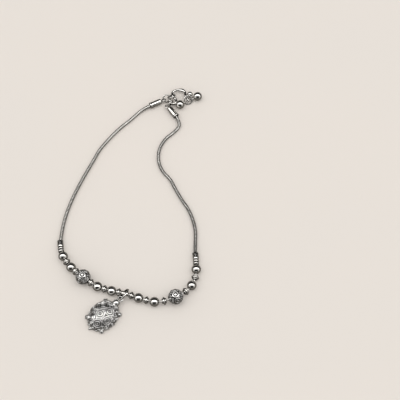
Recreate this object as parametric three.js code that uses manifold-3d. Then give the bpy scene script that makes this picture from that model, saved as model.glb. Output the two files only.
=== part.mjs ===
// Payal anklet: a silver ankle chain lying on a table as one open loop. Two strands of snake
// chain meet a string of round beads with two filigree balls and a turtle charm, and an
// S-hook clasp with three ball drops joins their other ends.
// Millimetres, +Z up. The anklet lies on the plane z = 0, with its charm towards -Y.
import * as THREE from "three";
import { mergeVertices } from "three/addons/utils/BufferGeometryUtils.js";
import Module from "manifold-3d";

const wasm = await Module();
wasm.setup();

// Free space between two pieces that touch or pass through each other, and between linked rings
const CLEAR = 0.3;
const LINK_CLEAR = 1.3 * CLEAR;

// Route of the whole anklet in plan, from the left clasp tube round to the right one
const ROUTE = [
  [3, 45.5], [-1.5, 41], [-6.4, 36.4], [-10.7, 31.4], [-15.1, 25.3], [-18.1, 19],
  [-22.5, 9.7], [-26.5, -0.3], [-29.2, -10], [-30.2, -18.5], [-30.2, -22.5], [-29.4, -26.2],
  [-27.2, -30.2], [-23.6, -34.4], [-19.4, -37.9], [-13.5, -41.7], [-7.2, -43.8],
  [-1.4, -45], [4.5, -47], [11.5, -48.8], [15.7, -48.6], [20.5, -47], [24.8, -44.4],
  [27.8, -40.8], [29.2, -36.6], [29.3, -31], [28.9, -25], [29, -19.5], [28.9, -15],
  [27.8, -10], [25.8, -5], [22.9, -0.3], [20.2, 4.6], [17.4, 10], [14, 14.2], [12, 19.8],
  [12.5, 26], [15.2, 31], [18.9, 34.5], [21.3, 37.9],
];
// Place of the charm's tube on the route, as a distance from the route's first point
const CHARM_PLACE = 124.8;

// Snake chain
const CHAIN_RADIUS = 0.72;
const CHAIN_WAIST = 0.6;
const CHAIN_PLATE_PITCH = 1.2;
const CHAIN_SIDES = 8;

// Bead string
const WIRE_RADIUS = 0.3;
const BORE_RADIUS = WIRE_RADIUS + CLEAR;
const BEAD_RADIUS = 2.05;
const FILIGREE_RADIUS = 3.1;
const FILIGREE_LENGTH = 5.9;
const FILIGREE_RELIEF = 0.2;
const SPACER_RADIUS = 1.7;
const SPACER_LENGTH = 1.9;
const SPACER_COLLAR_RADIUS = 1.2;
const RING_BEAD_RADIUS = 1.3;
const RING_BEAD_EDGE_RADIUS = 1.04;
const RING_BEAD_LENGTH = 1;
const CHARM_TUBE_RADIUS = 0.85;
const CHARM_TUBE_LENGTH = 3;
// Free space along the wire before each piece, outwards from the charm: the beads have slid
// together left of it and apart right of it
const LEFT_SPACING = 0.3;
const RIGHT_SPACING = [0.4, 0.4, 0.6, 0.6, 1.3, 1.3, 1.05, 1.05, 0.95, 0.95, 0.3, 0.3, 0.3];
// How far from a filigree ball's middle the string is back at the plain beads' height
const FILIGREE_SLOPE = 9;

// Tubes that join the strands to the string
const END_TUBE_RADIUS = 1.3;
const END_TUBE_LENGTH = 3;
const END_TUBE_SOCKET = 1.5;
const STRAND_SLOPE = 8;

// Clasp tubes, each with an eye
const CLASP_TUBE_RADIUS = 1.3;
const CLASP_TUBE_LENGTH = 5.7;
const CLASP_TUBE_SOCKET = 2.2;
const CLASP_TUBE_BAND = 0.15;
const CLASP_TUBE_BAND_LENGTH = 0.7;
const CLASP_TUBE_TAPER = 0.5;
const EYE_RADIUS = 1;
const EYE_WIRE = 0.3;
const LEFT_EYE = [13.7, 51.35];
const LEFT_TUBE_ANGLE = 27;
const RIGHT_TUBE_ANGLE = 126;

// Clasp rings and S-hook
const RING_RADIUS = 1.75;
const RING_WIRE = 0.3;
const RING_ROLL = 45;
const HOOK_RING_ROLL = 80;
const HOOK_WIRE = 0.5;
const HOOK_TIP_RADIUS = 0.6;
const HOOK_ANGLE = 27;
const HOOK_LINK_ANGLE = 50;
const HOOK_LINK_PLACE = { across: -0.1, up: -0.92 };
const HOOK_THUMB_LENGTH = 2.8;
const HOOK_THUMB_WIDTH = 1.5;
const HOOK_THUMB_ANGLE = -12;
const HOOK_THUMB_PLACE = { across: 0.72, up: 0.76 };
const DROP_RING_RADIUS = 2;
const DROP_RING_ROLL = 38;
const DROP_RING_AXIS_ANGLE = 28;

// S-hook outline as shares of its two curls: across and up from the left side of the big curl
const HOOK_CURL_WIDTH = 6;
const HOOK_CURL_HEIGHT = 4.3;
const HOOK_OUTLINE = [
  { across: -0.2, up: -0.6 }, { across: -0.17, up: -0.81 }, { across: -0.05, up: -0.96 },
  { across: 0.13, up: -0.98 }, { across: 0.28, up: -0.78 }, { across: 0.27, up: -0.46 },
  { across: 0.12, up: -0.2 }, { across: 0, up: 0.06 }, { across: 0, up: 0.42 },
  { across: 0.18, up: 0.68 }, { across: 0.52, up: 0.77 }, { across: 0.8, up: 0.72 },
  { across: 0.98, up: 0.48 }, { across: 1.02, up: 0.12 }, { across: 1.12, up: -0.2 },
  { across: 1.24, up: -0.5 }, { across: 1.31, up: -0.68 },
];

// Ball drops on the drop ring
const DROP_EYE_RADIUS = 0.82;
const DROP_EYE_WIRE = 0.22;
const DROPS = [
  { name: "ball_drop_1", radius: 2, angle: 217 },
  { name: "ball_drop_2", radius: 2, angle: 20 },
  { name: "ball_drop_3", radius: 1.25, angle: 80 },
];

// Turtle charm and the jump ring that hangs it on the charm tube
const JUMP_RING_RADIUS = 2.55;
const JUMP_RING_WIRE = 0.4;
const JUMP_RING_ROLL = 62;
const JUMP_RING_ANGLE = 236;
const JUMP_RING_OFFSET = 0.65;
const NOSE_LOOP_RADIUS = 1.05;
const NOSE_LOOP_WIRE = 0.28;
const TURTLE_ANGLE = 45;
const SHELL_WIDTH = 11.6;
const SHELL_LENGTH = 14.2;
const SHELL_HEIGHT = 5.2;
const SHELL_RIM_HEIGHT = 0.9;
const SHELL_BELLY_SHARE = 0.95;
const HEAD_RADIUS = 1.5;
const HEAD_HEIGHT = 2.4;
const HEAD_BEYOND_SHELL = 0.5;
const NECK_LENGTH = 2.2;
const NECK_RADII = { head: 1.1, shell: 1.36 };
const NECK_HEIGHT = 1.9;
const FOOT_ANGLES = [45, 133, 227, 315];
const FOOT_LENGTH = 2.1;
const FOOT_BEYOND_SHELL = 0.2;
const FOOT_WIDTH = 1.9;
const FOOT_HEIGHT = 1.7;
const TAIL_LENGTH = 1.8;
const TAIL_WIDTH = 1.1;
const TAIL_HEIGHT = 0.75;
const ROSETTE_PITCH = 4.1;
const ROSETTE_MIDDLE = { along: -0.9, across: 0.4 };
const ROSETTE_RADIUS = 1.7;
const ROSETTE_WIRE = 0.3;
const BOSS_RADIUS = 0.8;
const RIM_GRAINS = 16;
const GRAIN_RADIUS = 0.55;
const GRAIN_HEIGHT = 0.85;

// Facets round beads, small wires and larger wires
const BEAD_SIDES = 12;
const SPACER_SIDES = 10;
const WIRE_SIDES = 6;
const RING_STEPS = 14;

// Materials
const silver = (color, roughness) => new THREE.MeshStandardMaterial({ color, roughness, metalness: 1 });
const polishedSilver = silver(0xd9d8d4, 0.12);
const satinSilver = silver(0xcfcdc8, 0.3);
const oxidisedSilver = silver(0x9d9b97, 0.35);
const chainSilver = silver(0xc4c2bd, 0.22);

const radians = THREE.MathUtils.degToRad;
const plan = (angle) => new THREE.Vector3(Math.cos(radians(angle)), Math.sin(radians(angle)), 0);
const UP = new THREE.Vector3(0, 0, 1);

// Solids: a closed geometry becomes a solid for joining and cutting, and back
function toSolid(geometry) {
  const bare = new THREE.BufferGeometry();
  bare.setAttribute("position", geometry.getAttribute("position"));
  if (geometry.index) bare.setIndex(geometry.index);
  const merged = mergeVertices(bare, 1e-4);
  const triVerts = new Uint32Array(merged.index.array);
  const vertProperties = new Float32Array(merged.attributes.position.array);
  return new wasm.Manifold(new wasm.Mesh({ numProp: 3, vertProperties, triVerts }));
}

function toGeometry(solid) {
  const { vertProperties, triVerts } = solid.getMesh();
  const geometry = new THREE.BufferGeometry();
  geometry.setAttribute("position", new THREE.BufferAttribute(vertProperties, 3));
  geometry.setIndex(new THREE.BufferAttribute(triVerts, 1));
  return geometry;
}

const join = (geometries) => toGeometry(geometries.map(toSolid).reduce((all, one) => all.add(one)));

// A mesh whose own X axis runs along a direction, rolled about it
function place(name, geometry, material, position, direction, roll = 0) {
  const mesh = new THREE.Mesh(geometry, material);
  mesh.name = name;
  mesh.position.copy(position);
  mesh.quaternion.copy(turn(direction, roll));
  return mesh;
}

function turn(direction, roll = 0) {
  const along = direction.clone().normalize();
  const side = new THREE.Vector3().crossVectors(UP, along).normalize();
  const top = new THREE.Vector3().crossVectors(along, side);
  const axes = new THREE.Matrix4().makeBasis(along, side, top);
  const rolled = new THREE.Quaternion().setFromAxisAngle(new THREE.Vector3(1, 0, 0), radians(roll));
  return new THREE.Quaternion().setFromRotationMatrix(axes).multiply(rolled);
}

// The roll that turns a ring's own axis towards another ring's wire
function rollTo(direction, axis) {
  const [side, top] = [new THREE.Vector3(0, 1, 0), UP]
    .map((own) => own.clone().applyQuaternion(turn(direction)));
  return THREE.MathUtils.radToDeg(Math.atan2(-axis.dot(side), axis.dot(top)));
}

// A turned shape round the X axis. A profile row is [place along the axis, radius].
function turned(profile, sides) {
  const closed = [...profile, profile[0]].map(([along, radius]) => new THREE.Vector2(radius, along));
  return new THREE.LatheGeometry(closed, sides).rotateZ(-Math.PI / 2);
}

// A ring in the XY plane of its own frame
const ring = (radius, wire, steps = RING_STEPS) =>
  new THREE.TorusGeometry(radius, wire, WIRE_SIDES, steps);

// A drilled ball whose ends are cut flat where the bore comes out or at a given length
function drilledBall(radius, bore, endRadius, rows) {
  const first = Math.asin(endRadius / radius);
  const profile = [];
  for (let i = 0; i <= rows; i += 1) {
    const angle = first + ((Math.PI - 2 * first) * i) / rows;
    profile.push([-radius * Math.cos(angle), radius * Math.sin(angle)]);
  }
  const end = radius * Math.cos(first);
  return endRadius > bore ? [...profile, [end, bore], [-end, bore]] : profile;
}

// A tube along a curve, closed at both ends
function wireAlong(curve, radius, steps) {
  const section = new THREE.Shape();
  for (let i = 0; i < WIRE_SIDES; i += 1) {
    const angle = (2 * Math.PI * i) / WIRE_SIDES;
    const point = [radius * Math.cos(angle), radius * Math.sin(angle)];
    if (i === 0) section.moveTo(...point);
    else section.lineTo(...point);
  }
  return new THREE.ExtrudeGeometry(section, { steps, extrudePath: curve, bevelEnabled: false });
}

// A tube through rings of changing radius, closed at both ends
function ribbedTube(centres, directions, radii, sides) {
  const positions = [];
  const index = [];
  centres.forEach((centre, i) => {
    const basis = turn(directions[i]);
    for (let j = 0; j < sides; j += 1) {
      const angle = (2 * Math.PI * (j + 0.5)) / sides;
      const point = new THREE.Vector3(0, radii[i] * Math.cos(angle), radii[i] * Math.sin(angle));
      positions.push(...point.applyQuaternion(basis).add(centre));
    }
  });
  for (let i = 0; i + 1 < centres.length; i += 1) {
    for (let j = 0; j < sides; j += 1) {
      const a = i * sides + j;
      const b = i * sides + ((j + 1) % sides);
      index.push(a, b, a + sides, b, b + sides, a + sides);
    }
  }
  const last = (centres.length - 1) * sides;
  for (let j = 1; j + 1 < sides; j += 1) {
    index.push(0, j + 1, j, last, last + j, last + j + 1);
  }
  const geometry = new THREE.BufferGeometry();
  geometry.setAttribute("position", new THREE.Float32BufferAttribute(positions, 3));
  return geometry.setIndex(index);
}

// Clasp layout, worked out before the route because the strands end in its tubes
const EYE_REACH = EYE_RADIUS + EYE_WIRE / 2;
const RING_LINK = 2 * (RING_RADIUS - RING_WIRE) - LINK_CLEAR;
const HOOK_SEAT = RING_RADIUS - RING_WIRE - HOOK_WIRE - LINK_CLEAR;

// Where the wire of a ring that stands rolled on the table passes a height, on one side of it
function ringPassing(centre, angle, roll, radius, height) {
  const up = (height - centre.z) / Math.sin(radians(roll));
  const out = Math.sqrt(radius ** 2 - up ** 2);
  const side = plan(angle + 90).multiplyScalar(up * Math.cos(radians(roll)));
  return centre.clone().addScaledVector(plan(angle), out).add(side).setZ(height);
}
const standing = (radius, wire, roll) => radius * Math.sin(radians(roll)) + wire;

const leftEye = new THREE.Vector3(...LEFT_EYE, CLASP_TUBE_RADIUS + CLASP_TUBE_BAND);
const leftRing1 = leftEye.clone().addScaledVector(plan(HOOK_ANGLE), RING_RADIUS)
  .setZ(standing(RING_RADIUS, RING_WIRE, RING_ROLL));
const leftRing2 = leftRing1.clone().addScaledVector(plan(HOOK_ANGLE), RING_LINK);
const hookLeftSide = leftRing2.clone().addScaledVector(plan(HOOK_ANGLE), HOOK_SEAT);

function hookPoint({ across, up }) {
  return new THREE.Vector3(across * HOOK_CURL_WIDTH, up * HOOK_CURL_HEIGHT, 0).add(hookLeftSide);
}
const hookCurve = new THREE.CatmullRomCurve3(HOOK_OUTLINE.map(hookPoint));
const linkSeat = hookPoint(HOOK_LINK_PLACE);
const dropSeat = hookPoint(HOOK_OUTLINE.at(-2));

const hookRing = linkSeat.clone().addScaledVector(plan(HOOK_LINK_ANGLE), -HOOK_SEAT)
  .setZ(standing(RING_RADIUS, RING_WIRE, HOOK_RING_ROLL));
const rightEye = ringPassing(hookRing, HOOK_LINK_ANGLE + 180, HOOK_RING_ROLL, RING_RADIUS,
  CLASP_TUBE_RADIUS + CLASP_TUBE_BAND);

// Where a clasp tube's open end is, seen from its eye
const claspMouth = (eye, angle, inside = 0) =>
  eye.clone().addScaledVector(plan(angle), -EYE_REACH - CLASP_TUBE_LENGTH + inside);

const routeCurve = new THREE.CatmullRomCurve3([
  claspMouth(leftEye, LEFT_TUBE_ANGLE, CLASP_TUBE_SOCKET).setZ(0),
  claspMouth(leftEye, LEFT_TUBE_ANGLE).setZ(0),
  ...ROUTE.map(([x, y]) => new THREE.Vector3(x, y, 0)),
  claspMouth(rightEye, RIGHT_TUBE_ANGLE).setZ(0),
  claspMouth(rightEye, RIGHT_TUBE_ANGLE, CLASP_TUBE_SOCKET).setZ(0),
]);
routeCurve.arcLengthDivisions = 3000;
const ROUTE_LENGTH = routeCurve.getLength();

// String of pieces outwards from the charm tube, the same on both sides
const PIECE_LENGTHS = {
  bead: 2 * Math.sqrt(BEAD_RADIUS ** 2 - BORE_RADIUS ** 2),
  filigree: FILIGREE_LENGTH,
  spacer: SPACER_LENGTH,
  ring_bead: RING_BEAD_LENGTH,
  end_tube: END_TUBE_LENGTH,
};
const STRING_SIDE = [
  "spacer", "bead", "spacer", "bead", "spacer", "filigree", "spacer", "bead", "spacer",
  "bead", "ring_bead", "ring_bead", "end_tube",
];

function stringPieces(side, spacings) {
  let edge = CHARM_TUBE_LENGTH / 2;
  return STRING_SIDE.map((kind, i) => {
    const middle = edge + spacings[i] + PIECE_LENGTHS[kind] / 2;
    edge += spacings[i] + PIECE_LENGTHS[kind];
    return { kind, side, at: CHARM_PLACE + side * middle };
  });
}
const leftPieces = stringPieces(-1, STRING_SIDE.map(() => LEFT_SPACING));
const rightPieces = stringPieces(1, RIGHT_SPACING);
const pieces = [...leftPieces, ...rightPieces];
const leftEndTube = leftPieces.at(-1).at;
const rightEndTube = rightPieces.at(-1).at;

// Height of the string's middle: every ball and tube lies on the table, and the wire and the
// strands rise and fall smoothly between them
const outerBead = (side) => side.findLast((piece) => piece.kind === "bead").at;
const HALF_TUBE = END_TUBE_LENGTH / 2;
const HEIGHTS = [
  { at: 0, height: CLASP_TUBE_RADIUS + CLASP_TUBE_BAND },
  { at: CLASP_TUBE_SOCKET, height: CLASP_TUBE_RADIUS + CLASP_TUBE_BAND },
  { at: CLASP_TUBE_SOCKET + STRAND_SLOPE, height: CHAIN_RADIUS },
  { at: leftEndTube - HALF_TUBE - STRAND_SLOPE, height: CHAIN_RADIUS },
  { at: leftEndTube - HALF_TUBE, height: END_TUBE_RADIUS },
  { at: leftEndTube + HALF_TUBE, height: END_TUBE_RADIUS },
  { at: outerBead(leftPieces), height: BEAD_RADIUS },
  { at: outerBead(rightPieces), height: BEAD_RADIUS },
  { at: rightEndTube - HALF_TUBE, height: END_TUBE_RADIUS },
  { at: rightEndTube + HALF_TUBE, height: END_TUBE_RADIUS },
  { at: rightEndTube + HALF_TUBE + STRAND_SLOPE, height: CHAIN_RADIUS },
  { at: ROUTE_LENGTH - CLASP_TUBE_SOCKET - STRAND_SLOPE, height: CHAIN_RADIUS },
  { at: ROUTE_LENGTH - CLASP_TUBE_SOCKET, height: CLASP_TUBE_RADIUS + CLASP_TUBE_BAND },
  { at: ROUTE_LENGTH, height: CLASP_TUBE_RADIUS + CLASP_TUBE_BAND },
];

function heightAt(distance) {
  const next = Math.max(1, HEIGHTS.findIndex((row) => row.at >= distance));
  const [from, to] = [HEIGHTS[next - 1], HEIGHTS[next]];
  const climbed = THREE.MathUtils.smoothstep(distance, from.at, to.at);
  const base = from.height + (to.height - from.height) * climbed;
  const lift = FILIGREE_RADIUS + FILIGREE_RELIEF - BEAD_RADIUS;
  return pieces
    .filter(({ kind, at }) => kind === "filigree" && Math.abs(distance - at) < FILIGREE_SLOPE)
    .reduce((height, { at }) => {
      const share = (1 + Math.cos((Math.PI * (distance - at)) / FILIGREE_SLOPE)) / 2;
      return height + lift * share;
    }, base);
}

function pointAt(distance) {
  const share = THREE.MathUtils.clamp(distance / ROUTE_LENGTH, 0, 1);
  return routeCurve.getPointAt(share).setZ(heightAt(distance));
}

function directionAt(distance) {
  const step = 0.05;
  return pointAt(distance + step).sub(pointAt(distance - step)).normalize();
}

// Sub-parts of the string
function filigreeBall() {
  const endRadius = Math.sqrt(FILIGREE_RADIUS ** 2 - (FILIGREE_LENGTH / 2) ** 2);
  const ball = turned(drilledBall(FILIGREE_RADIUS, BORE_RADIUS, endRadius, 8), BEAD_SIDES);
  const reliefWire = 2 * FILIGREE_RELIEF;
  const circles = 6;
  const circleRadius = (Math.PI * FILIGREE_RADIUS) / circles - reliefWire;
  const parts = [ball];
  for (let i = 0; i < circles; i += 1) {
    const angle = (2 * Math.PI * i) / circles;
    const circle = new THREE.TorusGeometry(circleRadius, reliefWire, 4, 8)
      .translate(0, 0, Math.sqrt(FILIGREE_RADIUS ** 2 - circleRadius ** 2) - reliefWire + FILIGREE_RELIEF);
    const boss = new THREE.SphereGeometry(circleRadius / 3, 6, 3)
      .translate(0, 0, FILIGREE_RADIUS - FILIGREE_RELIEF);
    parts.push(circle.rotateX(angle), boss.rotateX(angle));
  }
  return join(parts);
}

function spacerBead() {
  const half = SPACER_LENGTH / 2;
  const collar = SPACER_COLLAR_RADIUS;
  return turned([
    [-half, BORE_RADIUS], [-half, collar], [-half / 2, collar], [-half / 4, SPACER_RADIUS],
    [half / 4, SPACER_RADIUS], [half / 2, collar], [half, collar], [half, BORE_RADIUS],
  ], SPACER_SIDES);
}

function ringBead() {
  const half = RING_BEAD_LENGTH / 2;
  const edge = RING_BEAD_EDGE_RADIUS;
  return turned([
    [-half, BORE_RADIUS], [-half, edge], [-half / 2, RING_BEAD_RADIUS],
    [half / 2, RING_BEAD_RADIUS], [half, edge], [half, BORE_RADIUS],
  ], SPACER_SIDES);
}

function endTube() {
  const half = END_TUBE_LENGTH / 2;
  const socket = CHAIN_RADIUS + CLEAR;
  return turned([
    [-half, BORE_RADIUS], [-half, END_TUBE_RADIUS], [half, END_TUBE_RADIUS], [half, socket],
    [half - END_TUBE_SOCKET, socket], [half - END_TUBE_SOCKET, BORE_RADIUS],
  ], BEAD_SIDES);
}

function charmTube() {
  const half = CHARM_TUBE_LENGTH / 2;
  return turned([
    [-half, BORE_RADIUS], [-half, CHARM_TUBE_RADIUS], [half, CHARM_TUBE_RADIUS], [half, BORE_RADIUS],
  ], SPACER_SIDES);
}

const plainBead = () => turned(drilledBall(BEAD_RADIUS, BORE_RADIUS, BORE_RADIUS, 6), BEAD_SIDES);

function makeString() {
  const made = {
    bead: { geometry: plainBead(), material: polishedSilver },
    filigree: { geometry: filigreeBall(), material: oxidisedSilver },
    spacer: { geometry: spacerBead(), material: polishedSilver },
    ring_bead: { geometry: ringBead(), material: polishedSilver },
    end_tube: { geometry: endTube(), material: satinSilver },
  };
  const group = new THREE.Group();
  const counts = {};
  for (const { kind, side, at } of [...pieces].sort((a, b) => a.at - b.at)) {
    counts[kind] = (counts[kind] ?? 0) + 1;
    const outwards = directionAt(at).multiplyScalar(side);
    const { geometry, material } = made[kind];
    group.add(place(`${kind}_${counts[kind]}`, geometry, material, pointAt(at), outwards));
  }
  group.add(place("charm_tube", charmTube(), satinSilver, pointAt(CHARM_PLACE), directionAt(CHARM_PLACE)));
  return group;
}

// The wire runs straight through each piece and bends in the spaces between them. It ends inside
// the sockets of both end tubes, clear of the strands.
const WIRE_END = HALF_TUBE - END_TUBE_SOCKET + CLEAR;

function beadWire() {
  const threaded = [{ at: CHARM_PLACE, half: CHARM_TUBE_LENGTH / 2 }];
  for (const { kind, at } of pieces) {
    threaded.push({ at, half: kind === "end_tube" ? WIRE_END : PIECE_LENGTHS[kind] / 2 });
  }
  threaded.sort((a, b) => a.at - b.at);
  const rings = threaded.flatMap(({ at, half }) => [-half, half].map((offset) => ({
    centre: pointAt(at).addScaledVector(directionAt(at), offset),
    direction: directionAt(at),
  })));
  const tube = ribbedTube(rings.map((row) => row.centre), rings.map((row) => row.direction),
    rings.map(() => WIRE_RADIUS), WIRE_SIDES);
  return place("bead_wire", tube, satinSilver, new THREE.Vector3(), new THREE.Vector3(1, 0, 0));
}

function chainStrand(name, from, to) {
  const steps = 2 * Math.round((to - from) / CHAIN_PLATE_PITCH / 2);
  const distances = Array.from({ length: steps + 1 }, (_, i) => from + ((to - from) * i) / steps);
  const radii = distances.map((_, i) => (i % 2 === 0 ? CHAIN_WAIST : CHAIN_RADIUS));
  const tube = ribbedTube(distances.map(pointAt), distances.map(directionAt), radii, CHAIN_SIDES);
  return place(name, tube, chainSilver, new THREE.Vector3(), new THREE.Vector3(1, 0, 0));
}

// Clasp
function claspTube(name, eye, angle, roll) {
  const mouth = -EYE_REACH - CLASP_TUBE_LENGTH;
  const bottom = mouth + CLASP_TUBE_SOCKET + CLEAR;
  const socket = CHAIN_RADIUS + CLEAR;
  const band = CLASP_TUBE_RADIUS + CLASP_TUBE_BAND;
  const bandEnd = mouth + CLASP_TUBE_BAND_LENGTH;
  const neck = EYE_WIRE + CLASP_TUBE_BAND;
  const neckEnd = -EYE_RADIUS + EYE_WIRE / 2;
  const tube = turned([
    [mouth, socket], [mouth, band], [bandEnd, band], [bandEnd + CLASP_TUBE_BAND, CLASP_TUBE_RADIUS],
    [-EYE_REACH - CLASP_TUBE_TAPER, CLASP_TUBE_RADIUS], [-EYE_REACH, neck], [neckEnd, neck],
    [neckEnd, 0], [bottom, 0], [bottom, socket],
  ], BEAD_SIDES);
  const eyeRing = ring(EYE_RADIUS, EYE_WIRE, BEAD_SIDES);
  return place(name, join([tube, eyeRing]), satinSilver, eye, plan(angle), roll);
}

function sHook() {
  const wire = wireAlong(hookCurve, HOOK_WIRE, 34);
  const end = new THREE.SphereGeometry(HOOK_TIP_RADIUS, 8, 6).translate(...hookCurve.getPoint(0));
  const thumb = new THREE.SphereGeometry(1, 8, 6)
    .scale(HOOK_THUMB_LENGTH / 2, HOOK_THUMB_WIDTH / 2, HOOK_WIRE)
    .rotateZ(radians(HOOK_THUMB_ANGLE)).translate(...hookPoint(HOOK_THUMB_PLACE));
  return place("s_hook", join([wire, end, thumb]), polishedSilver,
    new THREE.Vector3(), new THREE.Vector3(1, 0, 0));
}

function makeClasp() {
  const group = new THREE.Group();
  const towardsLeftEye = leftRing1.clone().sub(leftEye);
  const claspRing = () => ring(RING_RADIUS, RING_WIRE);
  group.add(
    claspTube("clasp_tube_left", leftEye, LEFT_TUBE_ANGLE, -RING_ROLL),
    claspTube("clasp_tube_right", rightEye, RIGHT_TUBE_ANGLE, 0),
    place("clasp_ring_1", claspRing(), satinSilver, leftRing1, towardsLeftEye, RING_ROLL),
    place("clasp_ring_2", claspRing(), satinSilver, leftRing2, plan(HOOK_ANGLE), -RING_ROLL),
    place("clasp_ring_3", claspRing(), satinSilver, hookRing, plan(HOOK_LINK_ANGLE + 180),
      HOOK_RING_ROLL),
    sHook(),
    ballDrops(),
  );
  return group;
}

// The drop ring leans on the hook's big end, and each ball lies on the table beside it
function ballDrops() {
  const group = new THREE.Group();
  const turnRing = turn(plan(DROP_RING_AXIS_ANGLE), DROP_RING_ROLL);
  group.add(place("drop_ring", ring(DROP_RING_RADIUS, RING_WIRE), satinSilver, dropSeat,
    plan(DROP_RING_AXIS_ANGLE), DROP_RING_ROLL));
  for (const { name, radius, angle } of DROPS) {
    const round = plan(angle - DROP_RING_AXIS_ANGLE);
    const onRing = round.clone().multiplyScalar(DROP_RING_RADIUS).applyQuaternion(turnRing).add(dropSeat);
    const ringWay = new THREE.Vector3().crossVectors(UP, round).applyQuaternion(turnRing);
    const reach = radius + DROP_EYE_RADIUS;
    const flat = Math.sqrt(reach ** 2 - (onRing.z - radius) ** 2);
    const ball = onRing.clone().addScaledVector(plan(angle), flat).setZ(radius);
    const sphere = turned(drilledBall(radius, 0, 0, 7), BEAD_SIDES);
    const eye = ring(DROP_EYE_RADIUS, DROP_EYE_WIRE, 10).translate(-reach, 0, 0);
    const outwards = ball.clone().sub(onRing);
    group.add(place(name, join([sphere, eye]), polishedSilver, ball, outwards, rollTo(outwards, ringWay)));
  }
  return group;
}

// Turtle charm, lying on its flat belly
const shellPoint = (along, across) => {
  const share = (2 * along / SHELL_LENGTH) ** 2 + (2 * across / SHELL_WIDTH) ** 2;
  const dome = SHELL_HEIGHT - SHELL_RIM_HEIGHT;
  return new THREE.Vector3(along, across, SHELL_RIM_HEIGHT + dome * Math.sqrt(Math.max(0, 1 - share)));
};

function shellNormal(along, across) {
  const dome = SHELL_HEIGHT - SHELL_RIM_HEIGHT;
  const height = shellPoint(along, across).z - SHELL_RIM_HEIGHT;
  return new THREE.Vector3(along / (SHELL_LENGTH / 2) ** 2, across / (SHELL_WIDTH / 2) ** 2,
    height / dome ** 2).normalize();
}

function turtleShell() {
  const rows = 5;
  const profile = [[0, 0], [0, SHELL_BELLY_SHARE]];
  for (let i = 0; i < rows; i += 1) {
    const angle = (Math.PI / 2) * (i / rows);
    const height = SHELL_RIM_HEIGHT + (SHELL_HEIGHT - SHELL_RIM_HEIGHT) * Math.sin(angle);
    profile.push([height, Math.cos(angle)]);
  }
  profile.push([SHELL_HEIGHT, 0]);
  return turned(profile, 18).rotateY(-Math.PI / 2).scale(SHELL_LENGTH / 2, SHELL_WIDTH / 2, 1);
}

function rosettes() {
  const parts = [];
  for (let i = -1; i < 6; i += 1) {
    const angle = radians(30 + 60 * i);
    const reach = i < 0 ? 0 : ROSETTE_PITCH;
    const along = ROSETTE_MIDDLE.along + reach * Math.cos(angle);
    const across = ROSETTE_MIDDLE.across + reach * Math.sin(angle);
    const upright = new THREE.Quaternion().setFromUnitVectors(UP, shellNormal(along, across));
    const centre = shellPoint(along, across);
    const circle = new THREE.TorusGeometry(ROSETTE_RADIUS, ROSETTE_WIRE, 4, 8);
    const boss = new THREE.SphereGeometry(BOSS_RADIUS, 6, 4).scale(1, 1, 0.6);
    for (const part of [circle.translate(0, 0, -ROSETTE_WIRE / 2), boss]) {
      parts.push(part.applyQuaternion(upright).translate(...centre));
    }
  }
  return parts;
}

// A place on the shell's edge at an angle round it and a height
const shellEdge = (angle, height) =>
  plan(angle).multiply(new THREE.Vector3(SHELL_LENGTH / 2, SHELL_WIDTH / 2, 1)).setZ(height);

function rimGrains() {
  return Array.from({ length: RIM_GRAINS }, (_, i) => {
    const place = shellEdge((360 * (i + 0.5)) / RIM_GRAINS, GRAIN_HEIGHT);
    return new THREE.SphereGeometry(GRAIN_RADIUS, 5, 3).translate(...place);
  });
}

const HEAD_REACH = SHELL_LENGTH / 2 + HEAD_BEYOND_SHELL;
const NOSE_REACH = HEAD_REACH + HEAD_RADIUS + NOSE_LOOP_RADIUS - NOSE_LOOP_WIRE / 2;

function turtleLimbs() {
  const feet = FOOT_ANGLES.map((angle) => {
    const place = shellEdge(angle, FOOT_HEIGHT / 2).addScaledVector(plan(angle), FOOT_BEYOND_SHELL);
    return new THREE.SphereGeometry(1, 8, 6).scale(FOOT_LENGTH / 2, FOOT_WIDTH / 2, FOOT_HEIGHT / 2)
      .rotateZ(radians(angle)).translate(...place);
  });
  const tail = new THREE.SphereGeometry(1, 8, 6).scale(TAIL_LENGTH / 2, TAIL_WIDTH / 2, TAIL_WIDTH / 2)
    .translate(-SHELL_LENGTH / 2 - TAIL_LENGTH / 4, 0, TAIL_HEIGHT);
  const neck = new THREE.CylinderGeometry(NECK_RADII.head, NECK_RADII.shell, NECK_LENGTH, 10)
    .rotateZ(-Math.PI / 2).translate(SHELL_LENGTH / 2, 0, NECK_HEIGHT);
  const head = new THREE.SphereGeometry(HEAD_RADIUS, 12, 8).scale(1.1, 1, 0.95)
    .translate(HEAD_REACH, 0, HEAD_HEIGHT);
  const loop = ring(NOSE_LOOP_RADIUS, NOSE_LOOP_WIRE, BEAD_SIDES).translate(NOSE_REACH, 0, HEAD_HEIGHT);
  return [...feet, tail, neck, head, loop];
}

function makeCharm() {
  const group = new THREE.Group();
  const tube = pointAt(CHARM_PLACE);
  const ringCentre = tube.clone().addScaledVector(plan(JUMP_RING_ANGLE), JUMP_RING_OFFSET)
    .setZ(standing(JUMP_RING_RADIUS, JUMP_RING_WIRE, JUMP_RING_ROLL));
  group.add(place("charm_jump_ring", ring(JUMP_RING_RADIUS, JUMP_RING_WIRE), polishedSilver, ringCentre,
    plan(JUMP_RING_ANGLE), JUMP_RING_ROLL));
  const nose = ringPassing(ringCentre, JUMP_RING_ANGLE, JUMP_RING_ROLL, JUMP_RING_RADIUS, HEAD_HEIGHT);
  const body = join([turtleShell(), ...rosettes(), ...rimGrains(), ...turtleLimbs()]);
  group.add(place("turtle_charm", body, oxidisedSilver,
    nose.setZ(0).addScaledVector(plan(TURTLE_ANGLE), -NOSE_REACH), plan(TURTLE_ANGLE)));
  return group;
}

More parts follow.
